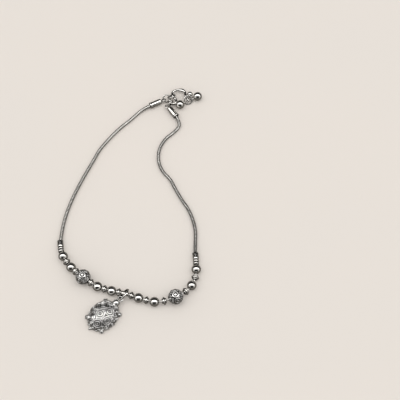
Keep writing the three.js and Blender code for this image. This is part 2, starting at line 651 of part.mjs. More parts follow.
// The whole anklet, with the middle of its base at the origin
function makeAnklet() {
  const group = new THREE.Group();
  group.add(
    chainStrand("chain_strand_left", 0, leftEndTube - HALF_TUBE + END_TUBE_SOCKET - 2 * CLEAR),
    chainStrand("chain_strand_right", rightEndTube + HALF_TUBE - END_TUBE_SOCKET + 2 * CLEAR, ROUTE_LENGTH),
    makeString(),
    beadWire(),
    makeClasp(),
    makeCharm(),
  );
  const box = new THREE.Box3().setFromObject(group, true);
  const middle = box.getCenter(new THREE.Vector3());
  group.position.set(-middle.x, -middle.y, -box.min.z);
  return group;
}

export default makeAnklet();
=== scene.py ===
import bisect
import math

import bpy
import numpy as np
from mathutils import Matrix, Vector


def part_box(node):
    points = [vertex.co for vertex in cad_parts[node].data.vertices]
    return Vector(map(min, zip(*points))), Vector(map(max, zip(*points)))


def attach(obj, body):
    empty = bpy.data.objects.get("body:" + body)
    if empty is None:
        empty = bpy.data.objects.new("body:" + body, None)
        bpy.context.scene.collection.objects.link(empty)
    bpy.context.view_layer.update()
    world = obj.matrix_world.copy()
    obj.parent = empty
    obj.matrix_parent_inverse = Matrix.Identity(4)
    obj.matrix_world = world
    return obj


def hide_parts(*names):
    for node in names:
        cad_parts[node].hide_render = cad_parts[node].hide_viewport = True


# Payal anklet: a silver ankle chain lying on a pale table, with snake chain, polished beads,
# filigree balls, a turtle charm and an S-hook clasp. Sizes are in millimetres.
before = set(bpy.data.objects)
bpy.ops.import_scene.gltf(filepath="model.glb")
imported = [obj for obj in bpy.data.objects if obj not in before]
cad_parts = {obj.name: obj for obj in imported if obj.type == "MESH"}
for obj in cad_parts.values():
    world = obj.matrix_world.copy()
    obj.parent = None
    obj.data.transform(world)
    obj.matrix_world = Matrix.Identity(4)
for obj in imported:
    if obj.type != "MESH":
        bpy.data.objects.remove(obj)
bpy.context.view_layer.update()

MM = 0.001
UP = Vector((0, 0, 1))

# Room between a piece and what it is threaded on or seated in, and between two linked rings
CLEAR = 0.3
LINK_CLEAR = 1.3 * CLEAR

# Route of the whole anklet in plan, between the mouths of its clasp tubes
ROUTE = [
    (3, 45.5), (-1.5, 41), (-6.4, 36.4), (-10.7, 31.4), (-15.1, 25.3), (-18.1, 19),
    (-22.5, 9.7), (-26.5, -0.3), (-29.2, -10), (-30.2, -18.5), (-30.2, -22.5), (-29.4, -26.2),
    (-27.2, -30.2), (-23.6, -34.4), (-19.4, -37.9), (-13.5, -41.7), (-7.2, -43.8),
    (-1.4, -45), (4.5, -47), (11.5, -48.8), (15.7, -48.6), (20.5, -47), (24.8, -44.4),
    (27.8, -40.8), (29.2, -36.6), (29.3, -31), (28.9, -25), (29, -19.5), (28.9, -15),
    (27.8, -10), (25.8, -5), (22.9, -0.3), (20.2, 4.6), (17.4, 10), (14, 14.2), (12, 19.8),
    (12.5, 26), (15.2, 31), (18.9, 34.5), (21.3, 37.9),
]
# The left clasp tube's eye in the same plan, from which the plan's place in the frame follows
LEFT_EYE = Vector((13.7, 51.35, 0))

# Snake chain. The zigzag and the climb of a plate are shares of the plates' pitch.
CHAIN_RADIUS = 0.72
CHAIN_GROOVE = 0.08
CHAIN_PLATE_PITCH = 0.64
CHAIN_ZIGZAG = 0.3
CHAIN_PLATE_CLIMB = 0.75
CHAIN_SIDES = 32
CHAIN_STEPS_PER_PLATE = 8
# Painted shade in the grooves between plates and on the chain's sides and underside, leaving a
# bright band along its top
CHAIN_SHADE_POWER = 1.5
CHAIN_SIDE_SHADE = 0.45
CHAIN_BRIGHT_TOP = 0.9
CHAIN_SHADE_BLEND = 0.4
# Painted shade that deepens along each strand towards its end tube, heavier on the right strand
LEFT_PAINTED_SHADE = 0.05
RIGHT_PAINTED_SHADE = 0.4
# A strand slopes between its clasp tube and the table, and again from the table to its end tube
STRAND_SLOPE = 8
STRAND_RISE_BEFORE_END = 7.1

# Bead string
WIRE_RADIUS = 0.3
WIRE_SIDES = 10
WIRE_STEPS = 300
WIRE_SHADE = 0.4
BORE_RADIUS = WIRE_RADIUS + CLEAR
BEAD_RADIUS = 2.05
FILIGREE_RADIUS = 3.1
FILIGREE_LENGTH = 5.9
FILIGREE_RELIEF = 0.2
FILIGREE_SUNK = 0.1
FILIGREE_CIRCLES = 6
FILIGREE_CIRCLE_ROOM = 0.25
# The lip at each end of a filigree ball: its distance from the edge and its half width
FILIGREE_LIP = (0.2, 0.24)
FILIGREE_COLLAR_RADIUS = 0.9
FILIGREE_COLLAR_OUT = 0.01
SPACER_RADIUS = 1.7
SPACER_LENGTH = 1.9
SPACER_COLLAR_RADIUS = 1.2
SPACER_CORE_RADIUS = 0.864
RING_BEAD_RADIUS = 1.3
RING_BEAD_LENGTH = 1
RING_BEAD_CORE_RADIUS = 0.78
CHARM_TUBE_RADIUS = 0.85
CHARM_TUBE_LENGTH = 3
END_TUBE_RADIUS = 1.3
END_TUBE_LENGTH = 3
END_TUBE_SOCKET = 1.5
END_TUBE_GROOVES = (0.22, 0.78)
TUBE_GROOVE_WIDTH = 0.2
TUBE_GROOVE_DEPTH = 0.1
SOCKET_RADIUS = CHAIN_RADIUS + CLEAR
STRAND_GAP = 0.6

# Clasp
CLASP_TUBE_RADIUS = 1.3
CLASP_TUBE_LENGTH = 5.7
CLASP_TUBE_SOCKET = 2.2
CLASP_TUBE_BAND = 0.15
CLASP_TUBE_BAND_LENGTH = 0.7
CLASP_TUBE_TAPER = 0.5
EYE_RADIUS = 1
EYE_WIRE = 0.3
EYE_REACH = EYE_RADIUS + EYE_WIRE / 2
LEFT_TUBE_ANGLE = 27
RIGHT_TUBE_ANGLE = 126
RING_RADIUS = 1.75
RING_WIRE = 0.3
RING_ROLL = 45
RING_SEAM = 0.12
HOOK_RING_ROLL = 80
HOOK_WIRE = 0.5
HOOK_TIP_RADIUS = 0.6
HOOK_TAIL_END = 0.02
HOOK_STEPS = 150
HOOK_SIDES = 20
HOOK_ANGLE = 27
HOOK_LINK_ANGLE = 50
HOOK_SEAT = RING_RADIUS - RING_WIRE - HOOK_WIRE - LINK_CLEAR
HOOK_THUMB_LENGTH = 2.8
HOOK_THUMB_WIDTH = 1.5
HOOK_THUMB_THINNED = 0.1
HOOK_THUMB_PLACE = (0.72, 0.76)
HOOK_CURL_WIDTH = 6
HOOK_CURL_HEIGHT = 4.3
# S-hook outline as shares of its two curls: across and up from the left side of the big curl
HOOK_OUTLINE = [
    (-0.2, -0.6), (-0.17, -0.81), (-0.05, -0.96), (0.13, -0.98), (0.28, -0.78), (0.27, -0.46),
    (0.12, -0.2), (0, 0.06), (0, 0.42), (0.18, 0.68), (0.52, 0.77), (0.8, 0.72),
    (0.98, 0.48), (1.02, 0.12), (1.12, -0.2), (1.24, -0.5), (1.31, -0.68),
]
DROP_RING_RADIUS = 2
DROP_RING_ROLL = 38
DROP_RING_AXIS_ANGLE = 28
DROP_EYE_RADIUS = 0.82
DROP_EYE_WIRE = 0.22
# A drop's collar in rows of place along it from the ball's end, radius and darkness, which is
# painted shade where the collar meets the ball and its eye
DROP_COLLAR = [(-0.3, 0.1, 0.8), (-0.25, 0.42, 0.5), (0.1, 0.55, 0.8), (0.3, 0.1, 1)]
# Ball drops: node, radius and the angle at which each lies from the drop ring
DROPS = [("ball_drop_1", 2, 217), ("ball_drop_2", 2, 20), ("ball_drop_3", 1.25, 80)]

# Turtle charm
JUMP_RING_RADIUS = 2.55
JUMP_RING_WIRE = 0.4
JUMP_RING_ROLL = 62
JUMP_RING_ANGLE = 236
JUMP_RING_SEAM = 0.14
NOSE_LOOP_RADIUS = 1.05
NOSE_LOOP_WIRE = 0.28
TURTLE_ANGLE = 45
SHELL_WIDTH = 11.6
SHELL_LENGTH = 14.2
SHELL_HEIGHT = 5.2
SHELL_RIM_HEIGHT = 0.9
SHELL_BELLY_SHARE = 0.95
SHELL_RELIEF = 0.28
SHELL_SUNK = 0.12
HEAD_RADIUS = 1.5
HEAD_HEIGHT = 2.4
EYE_SIZE = 0.55
# How far each eye lies ahead of the head's middle, to its side and above it
EYE_PLACE = (0.55, 0.85, 1.05)
NECK_LENGTH = 2.2
# The neck's radii at the shell and at the head
NECK_RADII = (1.36, 1.1)
NECK_HEIGHT = 1.9
HEAD_BEYOND_SHELL = 0.5
HEAD_REACH = SHELL_LENGTH / 2 + HEAD_BEYOND_SHELL
NOSE_REACH = HEAD_REACH + HEAD_RADIUS + NOSE_LOOP_RADIUS - NOSE_LOOP_WIRE / 2
FOOT_ANGLES = (45, 133, 227, 315)
FOOT_LENGTH = 2.1
FOOT_BEYOND_SHELL = 0.2
FOOT_WIDTH = 1.9
FOOT_HEIGHT = 1.7
TOE_SIZE = (0.7, 0.5, 0.5)
TOE_SPREAD = 18
TAIL_LENGTH = 1.8
TAIL_WIDTH = 1.1
TAIL_HEIGHT = 0.75
ROSETTE_PITCH = 4.1
ROSETTE_MIDDLE = (-0.9, 0.4)
ROSETTE_RADIUS = 1.7
ROSETTE_ROOM = 0.2
RIM_GRAINS = 32
GRAIN_RADIUS = 0.55
GRAIN_HEIGHT = 0.85

# Silver. Its clouds and specks are in patches a metre, and its dents are in metres. A range is
# where haze starts and where it is full, and so too for the darkening by tarnish and painted shade.
CLOUD_SCALE = 420.0
SPECK_SCALE = 2600.0
SPECK_SHARE = 0.15
DENT_DEPTH = 0.0002
HAZE_RANGE = (0.4, 0.75)
HAZE_MOST = 0.5
TARNISH_AND_SHADE_RANGE = (0.3, 0.95)
TARNISH_CLOUDS = 0.35
CLOUD_ROUGHNESS = 0.07
TARNISH_ROUGHNESS = 0.3

# Table, in metres
TABLE_HALF_WIDTH = 4.0
TABLE_SCALE = 9.0
TABLE_RANGE = (0.3, 0.7)
TABLE_ROUGHNESS = 0.85

# Studio round the anklet. Angles run from the foot of the near wall, up and over to the foot of
# the far wall. A width is a share of the way from the middle to either side.
NEAR_WALL_END = (68, 76)
FAR_WALL_START = (108, 114)
PATCH_END = (69, 77)
PATCH_WIDTH = (0.55, 0.8)
CEILING_WIDTH = (0.75, 0.98)
CEILING_LIGHT = 2.3
CEILING_FALL = 0.75
FAR_LIGHT = 0.03
NEAR_LIGHT = 0.6
PATCH_SHADE = 0.95
SOFT_LIGHT = 0.75
SOFT_CEILING_LIGHT = 0.92
BACKDROP_LIGHT = 0.8

# Photograph: the camera looks along +Y and down at a point beside the anklet
PHOTO_ELEVATION = 65
PHOTO_DISTANCE = 420
PHOTO_LENS = 84
PHOTO_TARGET = Vector((31, 0, 0))
PHOTO_CLIP_START = 0.01


# Node trees

class Value:
    """A number that varies over a surface. Arithmetic on it adds Math nodes."""

    def __init__(self, nodes, socket):
        self.nodes = nodes
        self.socket = socket

    def maths(self, operation, first, second=0.0):
        return self.nodes.value("ShaderNodeMath", {"operation": operation}, {0: first, 1: second})

    def __add__(self, other):
        return self.maths("ADD", self, other)

    def __sub__(self, other):
        return self.maths("SUBTRACT", self, other)

    def __mul__(self, other):
        return self.maths("MULTIPLY", self, other)

    def __rsub__(self, other):
        return self.maths("SUBTRACT", other, self)

    __radd__ = __add__
    __rmul__ = __mul__

    def __neg__(self):
        return self * -1.0

    def __abs__(self):
        return self.maths("ABSOLUTE", self)

    def angle(self, other):
        """The angle of the point (other, self), in radians."""
        return self.maths("ARCTAN2", self, other)

    def step(self, start, end):
        """Rises smoothly from 0 at start to 1 at end."""
        settings = {"interpolation_type": "SMOOTHSTEP"}
        sockets = {"Value": self, "From Min": start, "From Max": end}
        return self.nodes.value("ShaderNodeMapRange", settings, sockets)


class Nodes:
    """The node tree of a material or the world."""

    def __init__(self, owner):
        owner.use_nodes = True
        self.tree = owner.node_tree
        self.tree.nodes.clear()

    def node(self, kind, settings=(), sockets=()):
        made = self.tree.nodes.new(kind)
        for name, value in dict(settings).items():
            setattr(made, name, value)
        for name, value in dict(sockets).items():
            if isinstance(value, Value):
                value = value.socket
            if isinstance(value, bpy.types.NodeSocket):
                self.tree.links.new(value, made.inputs[name])
            else:
                made.inputs[name].default_value = value
        return made

    def value(self, kind, settings=(), sockets=(), output=0):
        return Value(self, self.node(kind, settings, sockets).outputs[output])

    def mix(self, share, first, second):
        """A colour between two colours."""
        settings = {"data_type": "RGBA"}
        made = self.node("ShaderNodeMix", settings, {0: share, 6: first, 7: second})
        return made.outputs[2]

    def noise(self, place, scale):
        """Soft noise from 0 to 1, with its scale in patches a metre."""
        sockets = {"Vector": place, "Scale": scale, "Detail": 3.0}
        return self.value("ShaderNodeTexNoise", sockets=sockets)


def rgb(red, green, blue):
    return (red, green, blue, 1.0)


# Finishes

def silver(name, bright, dark, polish, haze, dents):
    """Silver that is bright where it stands proud and dark where its mesh is marked: oxide in the
    hollows of the oxidised pieces, painted shade in grooves, bores, joins and on sides.
    """
    material = bpy.data.materials.new(name)
    nodes = Nodes(material)
    place = nodes.node("ShaderNodeTexCoord").outputs["Object"]
    oxide_and_shade = nodes.value("ShaderNodeAttribute", {"attribute_name": "oxide_and_shade"}, output="Fac")
    cloud = nodes.noise(place, CLOUD_SCALE)
    specks = nodes.noise(place, SPECK_SCALE)
    # The mesh's dark marks are oxide in the hollows of the oxidised pieces and painted shade
    # elsewhere
    tarnish_and_shade = (oxide_and_shade + (cloud - 0.5) * TARNISH_CLOUDS).step(*TARNISH_AND_SHADE_RANGE)
    clean = nodes.mix(cloud.step(*HAZE_RANGE) * HAZE_MOST, bright, haze)
    colour = nodes.mix(tarnish_and_shade, clean, dark)
    roughness = polish + cloud * CLOUD_ROUGHNESS + tarnish_and_shade * TARNISH_ROUGHNESS
    height = (cloud + specks * SPECK_SHARE) * dents
    bump = nodes.node("ShaderNodeBump", sockets={
        "Distance": DENT_DEPTH, "Strength": 1.0, "Height": height,
    })
    shader = nodes.node("ShaderNodeBsdfPrincipled", sockets={
        "Base Color": colour, "Metallic": 1.0, "Roughness": roughness, "Normal": bump.outputs[0],
    })
    nodes.node("ShaderNodeOutputMaterial", sockets={"Surface": shader.outputs[0]})
    return material


def tabletop():
    """Warm pale table with the faintest mottling. In the silver's reflections it is painted dark, as
    painted shade between close pieces.
    """
    material = bpy.data.materials.new("tabletop")
    nodes = Nodes(material)
    place = nodes.node("ShaderNodeTexCoord").outputs["Object"]
    cloud = nodes.noise(place, TABLE_SCALE).step(*TABLE_RANGE)
    pale = nodes.mix(cloud, rgb(0.78, 0.732, 0.688), rgb(0.77, 0.728, 0.688))
    mirrored = nodes.value("ShaderNodeLightPath", output="Is Glossy Ray")
    # Painted shade: the table seen in reflections is dark
    colour = nodes.mix(mirrored, pale, rgb(0.13, 0.12, 0.105))
    shader = nodes.node("ShaderNodeBsdfPrincipled", sockets={
        "Base Color": colour, "Roughness": TABLE_ROUGHNESS,
    })
    nodes.node("ShaderNodeOutputMaterial", sockets={"Surface": shader.outputs[0]})
    return material


FINISHES = {
    "polished_silver": silver("polished_silver", rgb(0.93, 0.91, 0.88), rgb(0.04, 0.036, 0.03),
                              polish=0.04, haze=rgb(0.86, 0.84, 0.8), dents=0.03),
    "satin_silver": silver("satin_silver", rgb(0.92, 0.9, 0.87), rgb(0.04, 0.036, 0.03),
                           polish=0.09, haze=rgb(0.82, 0.79, 0.75), dents=0.05),
    "oxidised_silver": silver("oxidised_silver", rgb(0.97, 0.965, 0.96), rgb(0.07, 0.067, 0.064),
                              polish=0.15, haze=rgb(0.82, 0.81, 0.8), dents=0.1),
    "chain_silver": silver("chain_silver", rgb(0.88, 0.86, 0.83), rgb(0.035, 0.032, 0.027),
                           polish=0.14, haze=rgb(0.78, 0.75, 0.71), dents=0.05),
}


# Places and directions

def plan(angle):
    return Vector((math.cos(math.radians(angle)), math.sin(math.radians(angle)), 0))


def turn(direction, roll=0):
    """The rotation whose X axis runs along a direction, with Z as upright as can be, then rolled."""
    along = direction.normalized()
    side = UP.cross(along).normalized()
    level = Matrix((along, side, along.cross(side))).transposed()
    return level @ Matrix.Rotation(math.radians(roll), 3, "X")


def placed(centre, direction, roll=0):
    return Matrix.Translation(centre) @ turn(direction, roll).to_4x4()


def middle(node):
    low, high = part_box(node)
    return (low + high) / 2 / MM


def reach(node, direction):
    """How far a node reaches along a direction: its least and greatest distance."""
    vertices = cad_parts[node].data.vertices
    distances = [vertex.co.dot(direction) / MM for vertex in vertices]
    return min(distances), max(distances)


def clasp_eye(node, angle):
    """The middle of a clasp tube's eye, measured back from the tube's mouth."""
    mouth, _ = reach(node, plan(angle))
    along = mouth + CLASP_TUBE_LENGTH + EYE_REACH
    across = sum(reach(node, plan(angle + 90))) / 2
    height = CLASP_TUBE_RADIUS + CLASP_TUBE_BAND
    return plan(angle) * along + plan(angle + 90) * across + UP * height


class Curve:
    """A smooth curve through points, measured by its length."""

    DIVISIONS = 3000
    TANGENT_STEP = 0.05

    def __init__(self, points):
        self.points = [2 * points[0] - points[1], *points, 2 * points[-1] - points[-2]]
        self.spans = len(points) - 1
        samples = [self.point(i / self.DIVISIONS) for i in range(self.DIVISIONS + 1)]
        steps = [(b - a).length for a, b in zip(samples, samples[1:])]
        self.lengths = [0.0, *np.cumsum(steps).tolist()]
        self.length = self.lengths[-1]

    def point(self, share):
        span = min(int(share * self.spans), self.spans - 1)
        weight = share * self.spans - span
        before, start, end, after = self.points[span:span + 4]
        first, span, last = (math.sqrt((b - a).length)
                             for a, b in ((before, start), (start, end), (end, after)))
        steady = (end - start) / span
        leave = (start - before) / first - (end - before) / (first + span) + steady
        arrive = steady - (after - start) / (span + last) + (after - end) / last
        leave, arrive = leave * span, arrive * span
        square = 3 * (end - start) - 2 * leave - arrive
        cube = 2 * (start - end) + leave + arrive
        return start + weight * (leave + weight * (square + weight * cube))

    def at(self, distance):
        distance = float(min(max(distance, 0.0), self.length))
        index = min(bisect.bisect_right(self.lengths, distance), self.DIVISIONS) - 1
        low, high = self.lengths[index], self.lengths[index + 1]
        return self.point((index + (distance - low) / (high - low)) / self.DIVISIONS)

    def direction(self, distance):
        return self.at(distance + self.TANGENT_STEP) - self.at(distance - self.TANGENT_STEP)

    def nearest(self, place):
        """The distance along the curve at which it passes nearest to a place, seen in plan."""
        samples = np.array([self.point(i / self.DIVISIONS)[:2] for i in range(self.DIVISIONS + 1)])
        offsets = np.linalg.norm(samples - np.array(place[:2]), axis=1)
        return self.lengths[int(np.argmin(offsets))]


# Forms

class Form:
    """A mesh in the making. Each point's darkness runs from 0, bright, to 1, dark: oxide in the
    hollows of the oxidised pieces and painted shade elsewhere.
    """

    SHARP_ANGLE = 50

    def __init__(self):
        self.points = np.zeros((0, 3))
        self.oxide_and_shade = np.zeros(0)
        self.faces = []

    def grid(self, points, oxide_and_shade=0.0, loop=False):
        """Joins rows of points, each a closed ring. A loop joins the last row to the first."""
        rows, columns, _ = points.shape
        index = len(self.points) + np.arange(rows * columns).reshape(rows, columns)
        if loop:
            index = np.vstack([index, index[:1]])
        else:
            self.faces += [index[0][::-1].tolist(), index[-1].tolist()]
        ahead = np.roll(index, -1, axis=1)
        quads = np.stack([index[:-1], ahead[:-1], ahead[1:], index[1:]], axis=-1)
        self.faces += quads.reshape(-1, 4).tolist()
        self.points = np.vstack([self.points, points.reshape(-1, 3)])
        oxide_and_shade_grid = np.broadcast_to(oxide_and_shade, (rows, columns))
        self.oxide_and_shade = np.append(self.oxide_and_shade, oxide_and_shade_grid.reshape(-1))
        return self

    def add(self, other, matrix=Matrix.Identity(4)):
        """Adds another form, placed by a matrix."""
        self.faces += [[i + len(self.points) for i in face] for face in other.faces]
        rotation = np.array(matrix.to_3x3())
        moved = other.points @ rotation.T + np.array(matrix.translation)
        self.points = np.vstack([self.points, moved])
        self.oxide_and_shade = np.append(self.oxide_and_shade, other.oxide_and_shade)
        return self

    def mesh(self, name, slot):
        mesh = bpy.data.meshes.new(name)
        mesh.from_pydata((self.points * MM).tolist(), [], self.faces)
        mesh.attributes.new("oxide_and_shade", "FLOAT", "POINT").data.foreach_set("value", self.oxide_and_shade)
        mesh.polygons.foreach_set("use_smooth", [True] * len(mesh.polygons))
        mesh.set_sharp_from_angle(angle=math.radians(self.SHARP_ANGLE))
        mesh.materials.append(FINISHES[slot])
        return mesh


def show(node, form, slot, matrix=Matrix.Identity(4)):
    """Shows a form in the place of a CAD node."""
    mesh = Form().add(form, matrix).mesh(node, slot)
    piece = bpy.data.objects.new(f"fine_{node}", mesh)
    bpy.context.scene.collection.objects.link(piece)
    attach(piece, "root")
    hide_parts(node)


def angles(count):
    return np.linspace(0, 2 * math.pi, count, endpoint=False)


def turned(profile, sides=48, loop=True):
    """A form turned round the X axis from rows of place along it, radius and darkness, the last
    marking oxide and painted shade.
    """
    along, radius, oxide_and_shade = np.array(profile, float).T[:, :, None]
    round_ = angles(sides)[None, :]
    points = np.stack([
        along + 0 * round_, radius * np.cos(round_), radius * np.sin(round_),
    ], axis=-1)
    return Form().grid(points, oxide_and_shade + 0 * round_, loop)


def ring(radius, wire, steps=56, sides=14, seam=0.0):
    """A wire ring in the XY plane with painted shade on its inner side, and a cut seam of a given
    width at its far side.
    Its rows are crowded towards the seam."""
    crowding, seam_depth, shade, shade_end = 0.55, 0.3, 0.9, 0.4
    around = angles(steps)[:, None]
    nearness = 0 * around
    if seam:
        around = around + crowding * np.sin(around)
        nearness = np.exp(-(((around - math.pi) * radius / seam) ** 2))
    section = angles(sides)[None, :]
    thick = wire * (1 - seam_depth * nearness)
    out = radius + thick * np.cos(section)
    points = np.stack([
        out * np.cos(around), out * np.sin(around), thick * np.sin(section),
    ], axis=-1)
    # Painted shade on the inner side of the wire
    inside = shade * np.clip(shade_end - np.cos(section), 0, 1)
    return Form().grid(points, np.maximum(nearness, inside), loop=True)


def oval(length, width, height, rows=14, sides=20, oxide_and_shade=0):
    """An egg-shaped form round the X axis."""
    pole = 0.04
    swing = np.linspace(pole, math.pi - pole, rows)
    profile = [(-math.cos(angle), math.sin(angle), oxide_and_shade) for angle in swing]
    form = turned(profile, sides, loop=False)
    form.points *= np.array([length, width, height]) / 2
    return form


def swept(centres, directions, side_radii, top_radii, oxide_and_shade, sides):
    """A wire along a line of points, with its half width and half height at each."""
    round_ = angles(sides)
    rows = []
    for i, centre in enumerate(centres):
        basis = np.array(turn(directions[i]))
        section = np.outer(side_radii[i] * np.cos(round_), basis[:, 1])
        section += np.outer(top_radii[i] * np.sin(round_), basis[:, 2])
        rows.append(section + np.array(centre))
    return Form().grid(np.array(rows), oxide_and_shade)


def wire_relief(distance, place, half):
    """The height of a worn wire over a surface, as a share of its own. Its top is flattened."""
    return np.sqrt(np.clip(1 - ((distance - place) / half) ** 4, 0, 1))


# A mark is its centre, the room that it takes and its wires, each a share of the relief, the
# radius of its circle and its half width.

def packed(places, marks, motifs):
    """Fills the room between marks with smaller motifs, each as near to the others as it fits."""
    room = np.min([
        np.linalg.norm(places - centre, axis=1) - size for centre, size, _ in marks
    ], axis=0)
    for size, wires in motifs:
        while np.any(room >= size):
            tightest = places[np.argmin(np.where(room >= size, room, np.inf))]
            marks.append((tightest, size, wires))
            room = np.minimum(room, np.linalg.norm(places - tightest, axis=1) - size)
    return marks


def raised(points, marks):
    """The height of a pattern of marks over a surface, as a share of its relief."""
    height = np.zeros(points.shape[:2])
    for centre, _, wires in marks:
        distance = np.linalg.norm(points - centre, axis=-1)
        for share, place, half_width in wires:
            height = np.maximum(height, share * wire_relief(distance, place, half_width))
    return height


# Bead string

def drilled_ball(radius, bore):
    """A ball with a bore along the X axis."""
    first = math.asin(bore / radius)
    swing = np.linspace(first, math.pi - first, 36)
    lip = 0.06
    profile = [(-radius * math.cos(angle), radius * math.sin(angle), 0) for angle in swing]
    end = radius * math.cos(first)
    # Painted shade at the lips of the bore
    return turned([*profile, (end - lip, bore, 1), (lip - end, bore, 1)], sides=56)


def rolls(rows, core):
    """Turned rings side by side, each with painted shade towards its edges where it meets the next,
    and a bore painted dark. A row is a ring's middle, half width and radius.
    """
    fullness, shade = 0.7, 0.8
    profile = []
    for place, half, outer in rows:
        for swing in np.linspace(-math.pi / 2, math.pi / 2, 15):
            height = math.cos(swing)
            radius = core + (outer - core) * height ** fullness
            profile.append((place + half * math.sin(swing), radius, (1 - height) ** shade))
    first, last = profile[0][0], profile[-1][0]
    return turned([*profile, (last, BORE_RADIUS, 1), (first, BORE_RADIUS, 1)])


def spacer_form():
    half = SPACER_LENGTH / 2
    collar = half / 4
    return rolls([
        (collar - half, collar, SPACER_COLLAR_RADIUS), (0, half / 2, SPACER_RADIUS),
        (half - collar, collar, SPACER_COLLAR_RADIUS),
    ], SPACER_CORE_RADIUS)


def ring_bead_form():
    return rolls([(0, RING_BEAD_LENGTH / 2, RING_BEAD_RADIUS)], RING_BEAD_CORE_RADIUS)


def end_tube_form():
    """A tube with two turned grooves and a socket for the strand, with painted shade in the grooves,
    the socket and the bore.
    """
    half = END_TUBE_LENGTH / 2
    shelf = half - END_TUBE_SOCKET
    edge = 0.12
    brim, bed = TUBE_GROOVE_WIDTH / 2, TUBE_GROOVE_WIDTH / 4
    floor = END_TUBE_RADIUS - TUBE_GROOVE_DEPTH
    profile = [
        (-half, BORE_RADIUS, 1), (-half, END_TUBE_RADIUS - edge, 0),
        (edge - half, END_TUBE_RADIUS, 0),
    ]
    for share in END_TUBE_GROOVES:
        place = -half + share * END_TUBE_LENGTH
        profile += [
            (place - brim, END_TUBE_RADIUS, 0), (place - bed, floor, 1),
            (place + bed, floor, 1), (place + brim, END_TUBE_RADIUS, 0),
        ]
    profile += [
        (half - edge, END_TUBE_RADIUS, 0), (half, END_TUBE_RADIUS - edge, 0),
        (half, SOCKET_RADIUS, 1), (shelf, SOCKET_RADIUS, 1), (shelf, BORE_RADIUS, 1),
    ]
    return turned(profile)


def charm_tube_form():
    half = CHARM_TUBE_LENGTH / 2
    edge = 0.1
    # Painted shade at the mouths of the bore
    return turned([
        (-half, BORE_RADIUS, 1), (-half, CHARM_TUBE_RADIUS - edge, 0),
        (edge - half, CHARM_TUBE_RADIUS, 0), (half - edge, CHARM_TUBE_RADIUS, 0),
        (half, CHARM_TUBE_RADIUS - edge, 0), (half, BORE_RADIUS, 1),
    ])


def filigree_marks(points):
    """Raised double circles round the ball, then small circles and grains packed between them."""
    circle = math.pi * FILIGREE_RADIUS / FILIGREE_CIRCLES - 2 * FILIGREE_RELIEF
    double_circle = ((1, circle, 0.3), (0.9, 0.3, 0.3))
    ringlet = ((0.8, 0.34, 0.26),)
    grain = ((0.8, 0, 0.36),)
    marks = []
    for i in range(FILIGREE_CIRCLES):
        angle = 2 * math.pi * i / FILIGREE_CIRCLES
        centre = FILIGREE_RADIUS * np.array([0, -math.sin(angle), math.cos(angle)])
        marks.append((centre, circle + FILIGREE_CIRCLE_ROOM, double_circle))
    places = points[::3, ::3].reshape(-1, 3)
    return packed(places, marks, ((0.6, ringlet), (0.36, grain)))


def filigree_form():
    """A ball with patterned wirework, a raised lip at each end and a collar round its bore."""
    end_radius = math.sqrt(FILIGREE_RADIUS ** 2 - (FILIGREE_LENGTH / 2) ** 2)
    first = math.asin(end_radius / FILIGREE_RADIUS)
    polar = np.linspace(first, math.pi - first, 150)[:, None]
    round_ = angles(270)[None, :]
    normals = np.stack([
        -np.cos(polar) + 0 * round_, np.sin(polar) * np.cos(round_), np.sin(polar) * np.sin(round_),
    ], axis=-1)
    points = FILIGREE_RADIUS * normals
    height = raised(points, filigree_marks(points))
    from_edge = FILIGREE_RADIUS * np.minimum(polar - first, math.pi - first - polar)
    height = np.maximum(height, wire_relief(from_edge, *FILIGREE_LIP) + 0 * round_)
    relief = (FILIGREE_RELIEF + FILIGREE_SUNK) * height - FILIGREE_SUNK
    form = Form().grid(points + normals * relief[:, :, None], 0.35 + 0.55 * (1 - height))
    end = FILIGREE_LENGTH / 2 + FILIGREE_COLLAR_OUT
    # Painted shade on the collar and in the bore at each end of the ball
    hole = turned([
        (-end, BORE_RADIUS, 1), (-end, FILIGREE_COLLAR_RADIUS, 0.5),
        (end, FILIGREE_COLLAR_RADIUS, 0.5), (end, BORE_RADIUS, 1),
    ])
    return form.add(hole)


def string_nodes():
    """The string's nodes in order from the left end tube to the right one."""
    side = [
        "end_tube", "ring_bead", "ring_bead", "bead", "spacer", "bead", "spacer", "filigree",
        "spacer", "bead", "spacer", "bead", "spacer",
    ]
    counts = {}
    names = []
    for kind in [*side, "charm_tube", *reversed(side)]:
        counts[kind] = counts.get(kind, 0) + 1
        names.append(kind if kind == "charm_tube" else f"{kind}_{counts[kind]}")
    return names


def make_string():
    """Every piece of the string in its node's place, facing outwards from the charm."""
    made = {
        "bead": (drilled_ball(BEAD_RADIUS, BORE_RADIUS), "polished_silver"),
        "spacer": (spacer_form(), "polished_silver"),
        "ring_bead": (ring_bead_form(), "polished_silver"),
        "end_tube": (end_tube_form(), "satin_silver"),
        "charm_tube": (charm_tube_form(), "satin_silver"),
        "filigree": (filigree_form(), "oxidised_silver"),
    }
    names = string_nodes()
    centres = [middle(name) for name in names]
    curve = Curve(centres)
    last = len(names) - 1
    nearby = 0.001
    for i, name in enumerate(names):
        form, slot = made[name.rstrip("0123456789").rstrip("_")]
        share = i / last
        direction = curve.point(min(share + nearby, 1)) - curve.point(max(share - nearby, 0))
        if i < last / 2:
            direction = -direction
        show(name, form, slot, placed(centres[i], direction))
    return curve


def make_wire(curve):
    """The wire through the whole string, from the middle of one end tube to that of the other."""
    distances = np.linspace(0, curve.length, WIRE_STEPS).tolist()
    centres = [curve.at(distance) for distance in distances]
    directions = [curve.direction(distance) for distance in distances]
    radii = [WIRE_RADIUS] * WIRE_STEPS
    form = swept(centres, directions, radii, radii, WIRE_SHADE, WIRE_SIDES)
    show("bead_wire", form, "satin_silver")


# Snake chain

def ramp(share):
    """Rises smoothly from 0 at share 0 to 1 at share 1."""
    share = min(max(share, 0.0), 1.0)
    return share * share * (3 - 2 * share)


